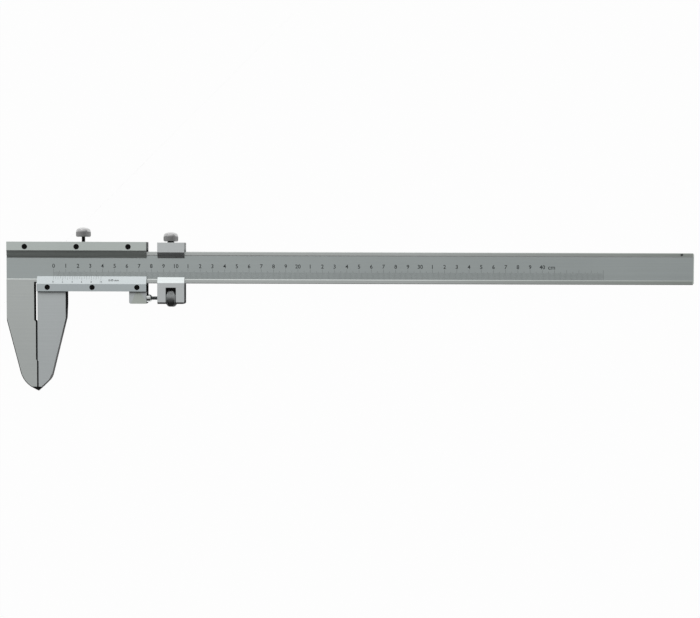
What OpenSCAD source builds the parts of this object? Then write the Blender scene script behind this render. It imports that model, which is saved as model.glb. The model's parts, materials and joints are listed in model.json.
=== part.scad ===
// Marking caliper with vernier scale, fine feed and 0 to 400 mm range.
// X runs along the beam from the measuring plane, Y is up the jaws towards the
// clamp screws, Z is towards the reader. Z = 0 is the back of the sliding frame.

/* [Beam and fixed jaw] */
// Free length of the beam, from the measuring plane to its end
beam_reach = 537.6; // [530:0.2:600]
// Width of the fixed jaw, which is also the beam's part left of the measuring plane
head_w = 25.2; // [22:0.1:32]
// Height of the beam
beam_h = 26; // [24:0.5:30]
// Thickness of the beam and of the fixed jaw
beam_t = 7; // [6:0.1:9]
// Depth of the recess that holds the scale
recess_depth = 0.4; // [0.2:0.05:0.8]
// Width of the rail above the scale
upper_rail = 2.7; // [2.4:0.05:4]
// Width of the rail below the scale
lower_rail = 2.95; // [2:0.05:4.5]
// Width of the recess's sloping sides
recess_side = 0.7; // [0.3:0.05:1.2]
// Bevel along the beam's four long edges
edge_bevel = 0.5; // [0.1:0.05:0.7]
// Bevel round the beam's free end
end_bevel = 1.2; // [0.5:0.1:2]
// Diameter of the stop pin near the beam's free end
stop_pin_d = 1.8; // [1.4:0.1:2.2]
// Height of the stop pin above the rail
stop_pin_h = 1.2; // [0.8:0.1:2]
// Distance from the beam's free end to the stop pin
stop_pin_inset = 10.4; // [6:0.2:12]

/* [Jaws] */
// Reach of both jaws below the beam
jaw_reach = 88.6; // [75:0.2:110]
// Width of the moving jaw
moving_jaw_w = 23.1; // [20:0.1:28]
// Length of the fixed jaw's parallel part below the beam
fixed_straight = 30.8; // [25:0.1:36]
// Length of the moving jaw's parallel part below the beam
moving_straight = 28.3; // [24:0.1:34]
// Width of the fixed jaw at its rounded shoulder
fixed_shoulder_w = 12.2; // [10:0.1:14]
// Width of the moving jaw at its rounded shoulder
moving_shoulder_w = 10.8; // [9:0.1:13]
// Height of the fixed jaw's point, from its shoulder to its tip
fixed_point_h = 7.6; // [6:0.1:11]
// Height of the moving jaw's point, from its shoulder to its tip
moving_point_h = 10.6; // [8:0.1:12]
// Radius of the fixed jaw's shoulder
fixed_shoulder_r = 20; // [8:0.5:24]
// Radius of the moving jaw's shoulder
moving_shoulder_r = 12; // [6:0.5:16]
// Height of the measuring faces above the tips
contact_h = 24.5; // [20:0.5:30]
// Depth of the fixed jaw's relief above the measuring faces
low_relief = 1.4; // [0.6:0.1:2]
// Depth of the fixed jaw's relief below the beam
high_relief = 2.7; // [2.2:0.1:4]
// Height of the high relief below the beam
high_relief_h = 30.3; // [20:0.1:34]
// Depth of the undercut in the beam above the relief
undercut = 1; // [0.5:0.1:2]
// Height of the ground bevels on the front and back of the tips
tip_bevel_h = 3.6; // [2:0.1:6]
// Depth of each ground bevel into the tips' thickness
tip_bevel_z = 3; // [2:0.1:3.3]
// Bevel along the front edge of the measuring faces
contact_bevel = 0.35; // [0.1:0.05:0.6]
// Length of the ramp where the moving jaw thins behind its root
ramp_h = 12; // [6:0.5:15]

/* [Sliding frame] */
// Length of the frame right of the measuring plane
frame_l = 89.5; // [85:0.1:110]
// Reach of the frame's upper part left of the measuring plane
frame_head = 24.6; // [18:0.1:30]
// Thickness of the frame's back wall
back_wall = 2.5; // [2:0.1:4]
// Height of the frame above the beam
frame_above = 7.85; // [7.3:0.05:10]
// Height of the frame below the beam
frame_below = 6.65; // [5.5:0.05:8]
// Height of the space for the leaf springs above the beam
spring_space = 1.8; // [1.2:0.05:2.2]
// Bevel along the frame's long back edges
frame_bevel = 0.4; // [0.2:0.1:0.8]
// Width of the lug that holds the feed screw
lug_w = 14.4; // [10:0.1:18]
// Drop of the lug below the frame
lug_drop = 10.05; // [9:0.05:13]
// Radius of the lug's lower corners
lug_r = 1.6; // [0.5:0.1:3]

/* [Cover strips] */
// Thickness of the two strips screwed on the frame's front
strip_t = 2.4; // [2:0.1:3.2]
// Thickness left at the strips' thin edges
strip_edge = 0.3; // [0.15:0.05:0.6]
// Height of the top strip's bevel
top_bevel = 6.05; // [5:0.05:7]
// Distance that the top strip reaches down over the beam
top_lap = 5.25; // [4:0.05:7]
// Height of the vernier strip's bevel
vernier_bevel = 6.3; // [5.5:0.1:8]
// Distance that the vernier strip reaches up over the beam
vernier_lap = 5.7; // [5:0.1:8]
// Distance of the top strip's outer screws from its ends
top_screw_inset = 14.8; // [8:0.1:20]
// Distance of the vernier strip's first screw from its left end
vernier_screw_left = 8.7; // [6:0.1:12]
// Distance of the vernier strip's last screw from its right end
vernier_screw_right = 7.6; // [5:0.1:12]
// Distance of the top strip's screws from the frame's upper edge
top_screw_row = 4.05; // [3:0.05:4.3]
// Distance of the vernier strip's screws from the frame's lower edge
vernier_screw_row = 3.3; // [2.8:0.05:3.6]
// Diameter of the strip screws' heads
screw_head_d = 4.3; // [3.6:0.1:5]
// Height of the strip screws' heads
screw_head_h = 1.5; // [1:0.1:1.7]
// Diameter of the strip screws' shanks
screw_shank_d = 2.5; // [2:0.1:3]
// Length of the strip screws' shanks
screw_shank_l = 6; // [4:0.5:7.5]

/* [Feed block] */
// Width of the feed block
block_w = 22; // [19:0.5:30]
// Gap between the frame and the feed block
block_gap = 9.05; // [8.6:0.05:10]
// Height of the feed block above the beam
block_above = 7.4; // [6:0.1:8.2]
// Height of the feed block below the beam
block_below = 16.8; // [15.5:0.1:20]
// Height of the feed block's upper bevel
block_top_bevel = 4.7; // [3:0.05:6]
// Distance that the feed block reaches down over the beam
block_top_lap = 5.3; // [4:0.1:7]
// Height of the feed block's lower bevel
block_low_bevel = 4.75; // [4:0.05:7]
// Distance that the feed block reaches up over the beam
block_low_lap = 5.1; // [4.5:0.05:7]
// Bevel at the feed block's lower front edge
block_foot_bevel = 1.4; // [0.4:0.1:2]
// Radius of the feed block's lower right corner
block_corner_r = 1.6; // [0.5:0.1:3]
// Height of the solid between the beam and the nut slot at the front
slot_roof = 3.4; // [2:0.1:4]
// Height of the axis of the round cutter that ends the slot above the back
slot_cutter_z = 8; // [7.5:0.1:9]

/* [Fine feed] */
// Diameter of the feed screw
feed_d = 3; // [2.5:0.1:4]
// Drop of the feed screw's axis below the beam
feed_drop = 12.1; // [11.6:0.1:12.6]
// Height of the feed screw's axis above the frame's back
feed_z = 7.05; // [7.05:0.05:7.4]
// Depth of the feed screw in the lug
feed_seat = 8; // [5:0.5:10]
// Distance that the feed screw ends short of the block's far side
feed_short = 0.8; // [0.3:0.1:2]
// Diameter of the collar at the lug
collar_d = 6.4; // [5:0.1:7]
// Length of the collar
collar_l = 4; // [3:0.1:4.2]
// Radius of the collar's rounded end
collar_round = 1.9; // [0.5:0.1:2.3]
// Diameter of the feed nut
nut_d = 14; // [12:0.1:14]
// Width of the feed nut
nut_w = 8; // [6:0.1:10]
// Bevel of the feed nut's rims
nut_bevel = 1.5; // [0.5:0.1:2]

/* [Clamp screws] */
// Distance from the top strip's middle screw to the frame's clamp screw
frame_clamp_offset = 4.75; // [4.5:0.05:9]
// Distance that the frame's clamp screw stands backed out
frame_clamp_out = 3.6; // [0:0.1:4]
// Distance of the block's clamp screw from the block's middle, towards the frame
block_clamp_offset = 0.65; // [0:0.05:1.2]
// Diameter of the clamp screws' stems
stem_d = 3; // [2.5:0.1:3.5]
// Length of the stems below the knobs
stem_l = 8; // [7.8:0.1:10]
// Depth of the stems in the knobs
stem_seat = 4; // [3:0.1:5]
// Diameter of the shoulder under the block's knob
shoulder_d = 5.6; // [4:0.1:7]
// Diameter of the knobs
knob_d = 12; // [10:0.1:12]
// Height of the knobs' knurled rims
knob_rim_h = 4.2; // [4.2:0.1:5]
// Height of the domes on the knobs
knob_dome_h = 3.5; // [3.3:0.1:4]
// Radius of the knobs' rounded edges, under the domes
knob_round = 2.7; // [1:0.1:3.2]
// Bevel at the knobs' lower edges
knob_bevel = 0.6; // [0.3:0.1:1]

/* [Leaf springs] */
// Thickness of the leaf springs
spring_t = 0.35; // [0.2:0.05:0.5]
// Length of the frame's leaf spring
frame_spring_l = 60; // [40:1:64]
// Distance of the block's leaf spring from the block's sides
block_spring_inset = 1.5; // [1:0.1:3]
// Width of the leaf springs
spring_w = 5; // [3:0.1:5.8]

/* [Clearances] */
// Sliding clearance round the beam
slide_gap = 0.05; // [0.03:0.01:0.08]
// Radial clearance of stems, screws and the nut where they turn
turn_gap = 0.04; // [0.02:0.01:0.08]
// Radial clearance of pins and screws that are fixed
seat_gap = 0.02; // [0.01:0.01:0.05]
// Gap of the stem's shoulder to the block and to the knob
shoulder_gap = 0.1; // [0.05:0.01:0.2]
// Gap between the closed measuring faces
closing_gap = 0.02; // [0.01:0.01:0.05]
// Side clearance of the nut in its slot
nut_gap = 0.2; // [0.1:0.05:0.3]
// Distance of the clamped stem's end from the spring
press_gap = 0.02; // [0.01:0.01:0.05]

/* [Hidden] */

$fn = 64;
// Length by which a cutting body runs past the face it opens
over = 1;
// Angle at which the arc of a jaw's shoulder meets the jaw's edges
arc_kink = 2;

beam_top = beam_h / 2;
beam_bottom = -beam_h / 2;
beam_back = back_wall + slide_gap;
beam_front = beam_back + beam_t;
seat_z = beam_front + slide_gap;
front_z = seat_z + strip_t;
mid_z = (beam_back + beam_front) / 2;

tip_y = beam_bottom - jaw_reach;
channel_top = beam_top + spring_space;
channel_bottom = beam_bottom - slide_gap;
frame_top = beam_top + frame_above;
frame_bottom = beam_bottom - frame_below;
lug_bottom = frame_bottom - lug_drop;

block_x = frame_l + block_gap;
block_mid_x = block_x + block_w / 2;
block_clamp_x = block_mid_x - block_clamp_offset;
block_top = beam_top + block_above;
block_bottom = beam_bottom - block_below;
slot_w = nut_w + 2 * nut_gap;
slot_top = beam_bottom - slot_roof;
feed_y = beam_bottom - feed_drop;
slot_r = sqrt(pow(slot_top - feed_y, 2) + pow(front_z - slot_cutter_z, 2));
feed_end = block_x + block_w - feed_short;
pin_x = beam_reach - stop_pin_inset;
pin_y = beam_top - upper_rail / 2;

spring_bottom = beam_top + slide_gap;
spring_top = channel_top - slide_gap;
clamped_tip = spring_bottom + spring_t + press_gap;

steel = [0.64, 0.65, 0.65];
bright_steel = [0.84, 0.86, 0.87];
dark_steel = [0.16, 0.16, 0.16];
nut_steel = [0.42, 0.43, 0.43];

// Extrudes a Y-Z section along X, from x0 to x1
module along_x(x0, x1) {
    translate([x0, 0, 0])
        rotate([90, 0, 90])
            linear_extrude(x1 - x0)
                children();
}

// Turns a revolved body's axis to +X
module axis_x() {
    rotate([0, 90, 0])
        children();
}

// Turns a revolved body's axis to +Y
module axis_y() {
    rotate([-90, 0, 0])
        children();
}

function unit(v) = v / norm(v);

// Replaces the corner b of an outline, between its neighbours a and c, with an
// arc of radius r that meets both edges at the small angle arc_kink
module round_corner(a, b, c, r) {
    to_a = unit(a - b);
    to_c = unit(c - b);
    half_angle = acos(to_a * to_c) / 2;
    edge_distance = r * cos(arc_kink);
    reach = edge_distance / tan(half_angle);
    centre = b + unit(to_a + to_c) * edge_distance / sin(half_angle);
    start = b + to_a * reach;
    end = b + to_c * reach;
    past = b - (to_a + to_c) * reach;
    difference() {
        children();
        difference() {
            polygon([start, past, end]);
            translate(centre)
                circle(r, $fn = 180);
        }
    }
}

// Bar along +Z that bevels an edge at the origin by the given width
module bevel_bar(width, length) {
    linear_extrude(length)
        polygon([[-width, 0], [0, -width], [width, 0], [0, width]]);
}

// Outline of a jaw that lies left of the measuring plane, inner edge at x = 0
module jaw_outline(width, straight, shoulder_w, point_h, shoulder_r) {
    bend = [-width, beam_bottom - straight];
    shoulder = [-shoulder_w, tip_y + point_h];
    tip = [0, tip_y];
    round_corner(bend, shoulder, tip, shoulder_r)
        polygon([[-width, beam_bottom + over], bend, shoulder, tip, [0, beam_bottom + over]]);
}

// Side view of a jaw: front face, back face or back ramp, and the ground tip
module jaw_side(root_back, front) {
    ramp_low = lug_bottom - ramp_h;
    polygon([
        [beam_bottom + over, root_back],
        [lug_bottom, root_back],
        [ramp_low, beam_back],
        [tip_y + tip_bevel_h, beam_back],
        [tip_y, beam_back + tip_bevel_z],
        [tip_y, front - tip_bevel_z],
        [tip_y + tip_bevel_h, front],
        [beam_bottom + over, front]
    ]);
}

// Bevels the front edge of a measuring face that lies at x
module contact_edge_cut(x, front) {
    translate([x, tip_y - over, front])
        axis_y()
            bevel_bar(contact_bevel, contact_h + over);
}

module beam_section() {
    e = edge_bevel;
    low = beam_bottom;
    high = beam_top;
    polygon([
        [low + e, beam_back], [high - e, beam_back],
        [high, beam_back + e], [high, beam_front - e],
        [high - e, beam_front], [high - upper_rail, beam_front],
        [high - upper_rail - recess_side, beam_front - recess_depth],
        [low + lower_rail + recess_side, beam_front - recess_depth],
        [low + lower_rail, beam_front], [low + e, beam_front],
        [low, beam_front - e], [low, beam_back + e]
    ]);
}

// Space left of the fixed jaw's inner edge that the relief takes away
module relief_outline() {
    step_y = beam_bottom - high_relief_h;
    contact_top = tip_y + contact_h;
    polygon([
        [0, beam_bottom + undercut],
        [-high_relief, beam_bottom + undercut],
        [-high_relief, step_y],
        [-low_relief, step_y - (high_relief - low_relief)],
        [-low_relief, contact_top + low_relief],
        [0, contact_top]
    ]);
}

// Cuts the bevel round the beam's free end, seen along Z and along Y
module end_bevel_cut() {
    for (side = [-1, 1])
        translate([beam_reach, side * beam_top, beam_back - over])
            bevel_bar(end_bevel, beam_t + 2 * over);
    for (z = [beam_back, beam_front])
        translate([beam_reach, beam_bottom - over, z])
            axis_y()
                bevel_bar(end_bevel, beam_h + 2 * over);
}

module beam() {
    color(steel)
        difference() {
            union() {
                along_x(-head_w, beam_reach)
                    beam_section();
                intersection() {
                    translate([0, 0, beam_back])
                        linear_extrude(beam_t)
                            jaw_outline(head_w, fixed_straight, fixed_shoulder_w,
                                        fixed_point_h, fixed_shoulder_r);
                    along_x(-head_w, 0)
                        jaw_side(beam_back, beam_front);
                }
            }
            translate([0, 0, beam_back - over])
                linear_extrude(beam_t + 2 * over)
                    relief_outline();
            contact_edge_cut(0, beam_front);
            end_bevel_cut();
            translate([pin_x, pin_y, beam_back - over])
                cylinder(h = beam_t + 2 * over, d = stop_pin_d);
        }
}

module end_stop_pin() {
    color(dark_steel)
        translate([pin_x, pin_y, beam_back])
            cylinder(h = beam_t + stop_pin_h, d = stop_pin_d - 2 * seat_gap);
}

// Section of the frame's channel; open_below leaves out the wall under the beam
module frame_section(open_below) {
    low = open_below ? channel_bottom : frame_bottom;
    b = frame_bevel;
    difference() {
        polygon([
            [low, b], [low + b, 0], [frame_top - b, 0], [frame_top, b],
            [frame_top, seat_z], [low, seat_z]
        ]);
        translate([open_below ? low - over : channel_bottom, back_wall])
            square([channel_top - channel_bottom + (open_below ? over : 0), front_z]);
    }
}

module lug() {
    difference() {
        translate([frame_l - lug_w, lug_bottom, 0])
            cube([lug_w, lug_drop + over, seat_z]);
        for (side = [0, 1])
            translate([side ? frame_l : frame_l - lug_w, lug_bottom, -over])
                mirror([side, 0, 0])
                    difference() {
                        translate([-over, -over, 0])
                            cube([lug_r + over, lug_r + over, seat_z + 2 * over]);
                        translate([lug_r, lug_r, 0])
                            cylinder(h = seat_z + 2 * over, r = lug_r);
                    }
    }
}

// Place of the screw number i of 3 in a row from x0 to x1
function screw_x(x0, x1, i) = x0 + (x1 - x0) * (i - 1) / 2;
function top_screw_x(i) = screw_x(top_screw_inset - frame_head, frame_l - top_screw_inset, i);
function vernier_screw_x(i) = screw_x(vernier_screw_left, frame_l - vernier_screw_right, i);
top_screw_y = frame_top - top_screw_row;
vernier_screw_y = frame_bottom + vernier_screw_row;
frame_clamp_x = top_screw_x(2) + frame_clamp_offset;

// Holes for the shanks of one row of strip screws
module shank_holes(d) {
    for (i = [1:3]) {
        translate([top_screw_x(i), top_screw_y, front_z - screw_head_h - screw_shank_l])
            cylinder(h = screw_head_h + screw_shank_l + over, d = d);
        translate([vernier_screw_x(i), vernier_screw_y, front_z - screw_head_h - screw_shank_l])
            cylinder(h = screw_head_h + screw_shank_l + over, d = d);
    }
}

// Counterbores for the heads of the strip screws
module head_holes() {
    for (i = [1:3]) {
        translate([top_screw_x(i), top_screw_y, front_z - screw_head_h])
            cylinder(h = screw_head_h + over, d = screw_head_d + 2 * turn_gap);
        translate([vernier_screw_x(i), vernier_screw_y, front_z - screw_head_h])
            cylinder(h = screw_head_h + over, d = screw_head_d + 2 * turn_gap);
    }
}

module frame_body() {
    color(steel)
        difference() {
            union() {
                along_x(-frame_head, closing_gap)
                    frame_section(true);
                along_x(closing_gap, frame_l)
                    frame_section(false);
                intersection() {
                    translate([closing_gap, 0, 0])
                        mirror([1, 0, 0])
                            linear_extrude(seat_z)
                                jaw_outline(moving_jaw_w, moving_straight, moving_shoulder_w,
                                            moving_point_h, moving_shoulder_r);
                    along_x(closing_gap, moving_jaw_w + closing_gap)
                        difference() {
                            jaw_side(0, seat_z);
                            translate([channel_bottom, back_wall])
                                square([beam_h, seat_z]);
                        }
                }
                lug();
            }
            contact_edge_cut(closing_gap, seat_z);
            shank_holes(screw_shank_d + 2 * seat_gap);
            translate([frame_clamp_x, channel_top - over, mid_z])
                axis_y()
                    cylinder(h = frame_above + 2 * over, d = stem_d + 2 * turn_gap);
            translate([frame_l - feed_seat, feed_y, feed_z])
                axis_x()
                    cylinder(h = feed_seat + over, d = feed_d + 2 * seat_gap);
        }
}

module top_strip() {
    low = beam_top - top_lap;
    color(steel)
        difference() {
            along_x(-frame_head, frame_l)
                polygon([
                    [low, seat_z], [low, seat_z + strip_edge], [low + top_bevel, front_z],
                    [frame_top, front_z], [frame_top, seat_z]
                ]);
            shank_holes(screw_shank_d + 2 * turn_gap);
            head_holes();
        }
}

module vernier_strip() {
    high = beam_bottom + vernier_lap;
    color(bright_steel)
        difference() {
            along_x(closing_gap, frame_l)
                polygon([
                    [high, seat_z], [high, seat_z + strip_edge], [high - vernier_bevel, front_z],
                    [frame_bottom, front_z], [frame_bottom, seat_z]
                ]);
            shank_holes(screw_shank_d + 2 * turn_gap);
            head_holes();
        }
}

// Screw of a strip: its head is flush with the strip and its shank is in the frame
module strip_screw(x, y) {
    color(dark_steel)
        translate([x, y, front_z - screw_head_h]) {
            cylinder(h = screw_head_h, d = screw_head_d);
            translate([0, 0, -screw_shank_l])
                cylinder(h = screw_shank_l + over / 2, d = screw_shank_d);
        }
}

// Bowed leaf spring: its middle lies on the beam, its ends bear on the wall above
module leaf_spring(x, length) {
    rise = spring_top - spring_bottom - spring_t;
    bow_r = (pow(length / 2, 2) + pow(rise, 2)) / (2 * rise);
    color(bright_steel)
        translate([x, 0, mid_z - spring_w / 2])
            linear_extrude(spring_w)
                intersection() {
                    translate([-length / 2, spring_bottom])
                        square([length, spring_top - spring_bottom]);
                    translate([0, spring_bottom + bow_r])
                        difference() {
                            circle(bow_r, $fn = 180);
                            circle(bow_r - spring_t, $fn = 180);
                        }
                }
}

module frame_spring() {
    leaf_spring(frame_clamp_x, frame_spring_l);
}

module feed_screw() {
    color(dark_steel)
        translate([frame_l - feed_seat, feed_y, feed_z])
            axis_x()
                cylinder(h = feed_end - frame_l + feed_seat, d = feed_d);
}

// Collar with a rounded end that bears on the lug
module feed_screw_collar() {
    round_x = collar_d / 2 - collar_round;
    round_y = collar_l - collar_round;
    color(bright_steel)
        translate([frame_l, feed_y, feed_z])
            axis_x()
                rotate_extrude()
                    intersection() {
                        translate([feed_d / 2 + seat_gap, 0])
                            square([collar_d, collar_l]);
                        union() {
                            square([collar_d / 2, round_y]);
                            square([round_x, collar_l]);
                            translate([round_x, round_y])
                                circle(collar_round);
                        }
                    }
}

// Stem of a clamp screw whose knob's lower face is at y
module clamp_stem(x, y) {
    color(dark_steel)
        translate([x, y - stem_l, mid_z])
            axis_y()
                cylinder(h = stem_l + stem_seat, d = stem_d);
}

// Half section of a knob's top: a cap that runs into the rounded shoulder
module dome_section() {
    shoulder_x = knob_d / 2 - knob_round;
    cap_r = (pow(shoulder_x, 2) + pow(knob_dome_h, 2) - pow(knob_round, 2))
        / (2 * (knob_dome_h - knob_round));
    meet_x = shoulder_x * cap_r / (cap_r - knob_round);
    intersection() {
        square([meet_x, knob_dome_h]);
        translate([0, knob_dome_h - cap_r])
            circle(cap_r, $fn = 180);
    }
    intersection() {
        square([knob_d, knob_dome_h]);
        translate([shoulder_x, 0])
            circle(knob_round);
    }
}

// Knurled knob of a clamp screw with a domed top and a blind hole for the stem
module clamp_knob(x, y) {
    r = knob_d / 2;
    color(steel)
        translate([x, y, mid_z])
            axis_y()
                rotate_extrude()
                    difference() {
                        union() {
                            polygon([
                                [0, 0], [r - knob_bevel, 0], [r, knob_bevel],
                                [r, knob_rim_h], [0, knob_rim_h]
                            ]);
                            translate([0, knob_rim_h])
                                dome_section();
                        }
                        translate([0, -over])
                            square([stem_d / 2 + turn_gap, stem_seat + turn_gap + over]);
                    }
}

frame_knob_y = clamped_tip + stem_l + frame_clamp_out;
block_knob_y = clamped_tip + stem_l;

module frame_clamp_stem() {
    clamp_stem(frame_clamp_x, frame_knob_y);
}

module frame_clamp_knob() {
    clamp_knob(frame_clamp_x, frame_knob_y);
}

// Stem with a shoulder that stands between the block and the knob
module block_clamp_stem() {
    clamp_stem(block_clamp_x, block_knob_y);
    color(dark_steel)
        translate([block_clamp_x, block_top + shoulder_gap, mid_z])
            axis_y()
                cylinder(h = block_knob_y - block_top - 2 * shoulder_gap, d = shoulder_d);
}

module block_clamp_knob() {
    clamp_knob(block_clamp_x, block_knob_y);
}

// Section of the feed block: a channel round the beam, milled from one piece
module block_section() {
    b = frame_bevel;
    top_lip = beam_top - block_top_lap;
    low_lip = beam_bottom + block_low_lap;
    difference() {
        polygon([
            [block_bottom, b], [block_bottom + b, 0], [block_top - b, 0], [block_top, b],
            [block_top, front_z], [top_lip + block_top_bevel, front_z],
            [top_lip, seat_z + strip_edge], [top_lip, back_wall],
            [low_lip, back_wall], [low_lip, seat_z + strip_edge],
            [low_lip - block_low_bevel, front_z], [block_bottom + block_foot_bevel, front_z],
            [block_bottom, front_z - block_foot_bevel]
        ]);
        translate([channel_bottom, back_wall])
            square([channel_top - channel_bottom, seat_z - back_wall]);
    }
}

module feed_block() {
    color(steel)
        difference() {
            along_x(block_x, block_x + block_w)
                block_section();
            translate([block_mid_x - slot_w / 2, block_bottom - over, -over])
                cube([slot_w, feed_y - block_bottom + over, front_z + 2 * over]);
            translate([block_mid_x - slot_w / 2, feed_y, slot_cutter_z])
                axis_x()
                    cylinder(h = slot_w, r = slot_r);
            translate([block_x - over, feed_y, feed_z])
                axis_x()
                    cylinder(h = block_w + 2 * over, d = feed_d + 2 * turn_gap);
            translate([block_clamp_x, channel_top - over, mid_z])
                axis_y()
                    cylinder(h = block_above + 2 * over, d = stem_d + 2 * turn_gap);
            translate([block_x + block_w, block_bottom, -over])
                mirror([1, 0, 0])
                    difference() {
                        translate([-over, -over, 0])
                            cube([block_corner_r + over, block_corner_r + over, front_z + 2 * over]);
                        translate([block_corner_r, block_corner_r, 0])
                            cylinder(h = front_z + 2 * over, r = block_corner_r);
                    }
        }
}

module block_spring() {
    leaf_spring(block_clamp_x, block_w - 2 * block_spring_inset);
}

// Knurled nut with bevelled rims
module feed_nut() {
    r = nut_d / 2;
    c = nut_bevel;
    bore_r = feed_d / 2 + turn_gap;
    color(nut_steel)
        translate([block_mid_x - nut_w / 2, feed_y, feed_z])
            axis_x()
                rotate_extrude()
                    polygon([
                        [bore_r, 0], [r - c, 0], [r, c],
                        [r, nut_w - c], [r - c, nut_w], [bore_r, nut_w]
                    ]);
}

beam();
end_stop_pin();
frame_body();
top_strip();
vernier_strip();
strip_screw(top_screw_x(1), top_screw_y);  // top_strip_screw_1
strip_screw(top_screw_x(2), top_screw_y);  // top_strip_screw_2
strip_screw(top_screw_x(3), top_screw_y);  // top_strip_screw_3
strip_screw(vernier_screw_x(1), vernier_screw_y);  // vernier_screw_1
strip_screw(vernier_screw_x(2), vernier_screw_y);  // vernier_screw_2
strip_screw(vernier_screw_x(3), vernier_screw_y);  // vernier_screw_3
frame_spring();
feed_screw();
feed_screw_collar();
frame_clamp_stem();
frame_clamp_knob();
feed_block();
block_spring();
feed_nut();
block_clamp_stem();
block_clamp_knob();
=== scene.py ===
import json
import math

import bmesh
import bpy
from mathutils import Matrix, Vector

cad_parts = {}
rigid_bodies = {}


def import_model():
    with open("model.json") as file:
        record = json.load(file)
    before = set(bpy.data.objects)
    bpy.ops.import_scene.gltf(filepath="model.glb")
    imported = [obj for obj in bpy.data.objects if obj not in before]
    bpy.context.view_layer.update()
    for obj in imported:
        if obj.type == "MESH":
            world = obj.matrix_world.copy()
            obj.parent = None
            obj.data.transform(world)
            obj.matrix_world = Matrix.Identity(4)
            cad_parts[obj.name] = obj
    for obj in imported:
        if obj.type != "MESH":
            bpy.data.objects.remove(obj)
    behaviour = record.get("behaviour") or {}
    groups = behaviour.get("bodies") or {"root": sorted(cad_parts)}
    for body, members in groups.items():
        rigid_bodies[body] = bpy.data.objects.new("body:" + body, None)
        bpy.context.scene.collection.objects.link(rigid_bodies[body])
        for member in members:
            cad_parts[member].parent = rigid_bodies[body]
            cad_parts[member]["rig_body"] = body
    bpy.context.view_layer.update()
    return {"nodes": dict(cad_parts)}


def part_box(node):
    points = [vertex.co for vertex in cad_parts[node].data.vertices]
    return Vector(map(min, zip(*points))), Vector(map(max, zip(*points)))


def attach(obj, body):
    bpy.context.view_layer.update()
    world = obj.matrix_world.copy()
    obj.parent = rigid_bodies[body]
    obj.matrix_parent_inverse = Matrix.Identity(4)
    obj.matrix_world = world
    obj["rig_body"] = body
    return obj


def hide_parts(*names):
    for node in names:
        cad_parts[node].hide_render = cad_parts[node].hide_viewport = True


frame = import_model()

# Beam
# A bar of stainless steel with the fixed jaw in one piece, hardened and ground
# along its length. Its scale face lies in a shallow recess between two rails.

MM = 0.001
scene = bpy.context.scene


def own_nodes(name):
    """A new material with its node tree and its surface shader."""
    material = bpy.data.materials.new(name)
    material.use_nodes = True
    tree = material.node_tree
    return material, tree, tree.nodes["Principled BSDF"]


def own_place(tree):
    """Where on the piece a point lies, in the piece's own coordinates."""
    return tree.nodes.new("ShaderNodeTexCoord").outputs["Object"]


def along_axis(tree, place, axis):
    """How far along an axis a place lies."""
    parts = tree.nodes.new("ShaderNodeSeparateXYZ")
    tree.links.new(place, parts.inputs["Vector"])
    return parts.outputs[axis]


def mottle(tree, place, scale, detail):
    """Uneven spots over a piece."""
    noise = tree.nodes.new("ShaderNodeTexNoise")
    noise.inputs["Scale"].default_value = scale
    noise.inputs["Detail"].default_value = detail
    tree.links.new(place, noise.inputs["Vector"])
    return noise.outputs["Fac"]


def graded(tree, value, start, end, first=0, last=1, smooth=False):
    """Goes from first to last as the value goes from start to end."""
    grade = tree.nodes.new("ShaderNodeMapRange")
    if smooth:
        grade.interpolation_type = "SMOOTHSTEP"
    grade.inputs["From Min"].default_value = start
    grade.inputs["From Max"].default_value = end
    grade.inputs["To Min"].default_value = first
    grade.inputs["To Max"].default_value = last
    tree.links.new(value, grade.inputs["Value"])
    return grade.outputs["Result"]


def toned(tree, colour, tone):
    """A colour, given as numbers or by a node, made darker or lighter by a tone."""
    tint = tree.nodes.new("ShaderNodeVectorMath")
    tint.operation = "SCALE"
    if isinstance(colour, tuple):
        tint.inputs[0].default_value = colour
    else:
        tree.links.new(colour, tint.inputs[0])
    tree.links.new(tone, tint.inputs["Scale"])
    return tint.outputs["Vector"]


NOISE_SPREAD = (0.3, 0.7)


def ground_steel(name, colour, roughness, grain=(6, 420, 420), contrast=0.05):
    """Steel with fine grinding lines along the axis whose grain number is the smallest."""
    material, tree, surface = own_nodes(name)
    add, link = tree.nodes.new, tree.links.new
    place = own_place(tree)

    along = add("ShaderNodeMapping")
    along.inputs["Scale"].default_value = grain
    link(place, along.inputs["Vector"])
    lines = add("ShaderNodeTexNoise")
    lines.inputs["Scale"].default_value = 1
    lines.inputs["Detail"].default_value = 5
    lines.inputs["Roughness"].default_value = 0.7
    link(along.outputs["Vector"], lines.inputs["Vector"])
    line = lines.outputs["Fac"]
    clouds = mottle(tree, place, 18, 3)

    tone = add("ShaderNodeMath")
    tone.operation = "MULTIPLY"
    link(graded(tree, line, *NOISE_SPREAD, 1 - contrast, 1 + contrast), tone.inputs[0])
    link(graded(tree, clouds, *NOISE_SPREAD, 0.975, 1.025), tone.inputs[1])
    link(toned(tree, colour, tone.outputs["Value"]), surface.inputs["Base Color"])
    dullness = graded(tree, line, *NOISE_SPREAD, roughness - 0.05, roughness + 0.07)
    link(dullness, surface.inputs["Roughness"])

    relief = add("ShaderNodeBump")
    relief.inputs["Strength"].default_value = 0.2
    relief.inputs["Distance"].default_value = 0.02 * MM
    link(line, relief.inputs["Height"])
    link(relief.outputs["Normal"], surface.inputs["Normal"])
    surface.inputs["Metallic"].default_value = 1
    return material


def settled(piece):
    """The piece with its modifiers turned into a plain mesh."""
    graph = bpy.context.evaluated_depsgraph_get()
    mesh = bpy.data.meshes.new_from_object(piece.evaluated_get(graph), depsgraph=graph)
    mesh.name = piece.name
    piece.modifiers.clear()
    piece.data = mesh
    return piece


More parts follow.
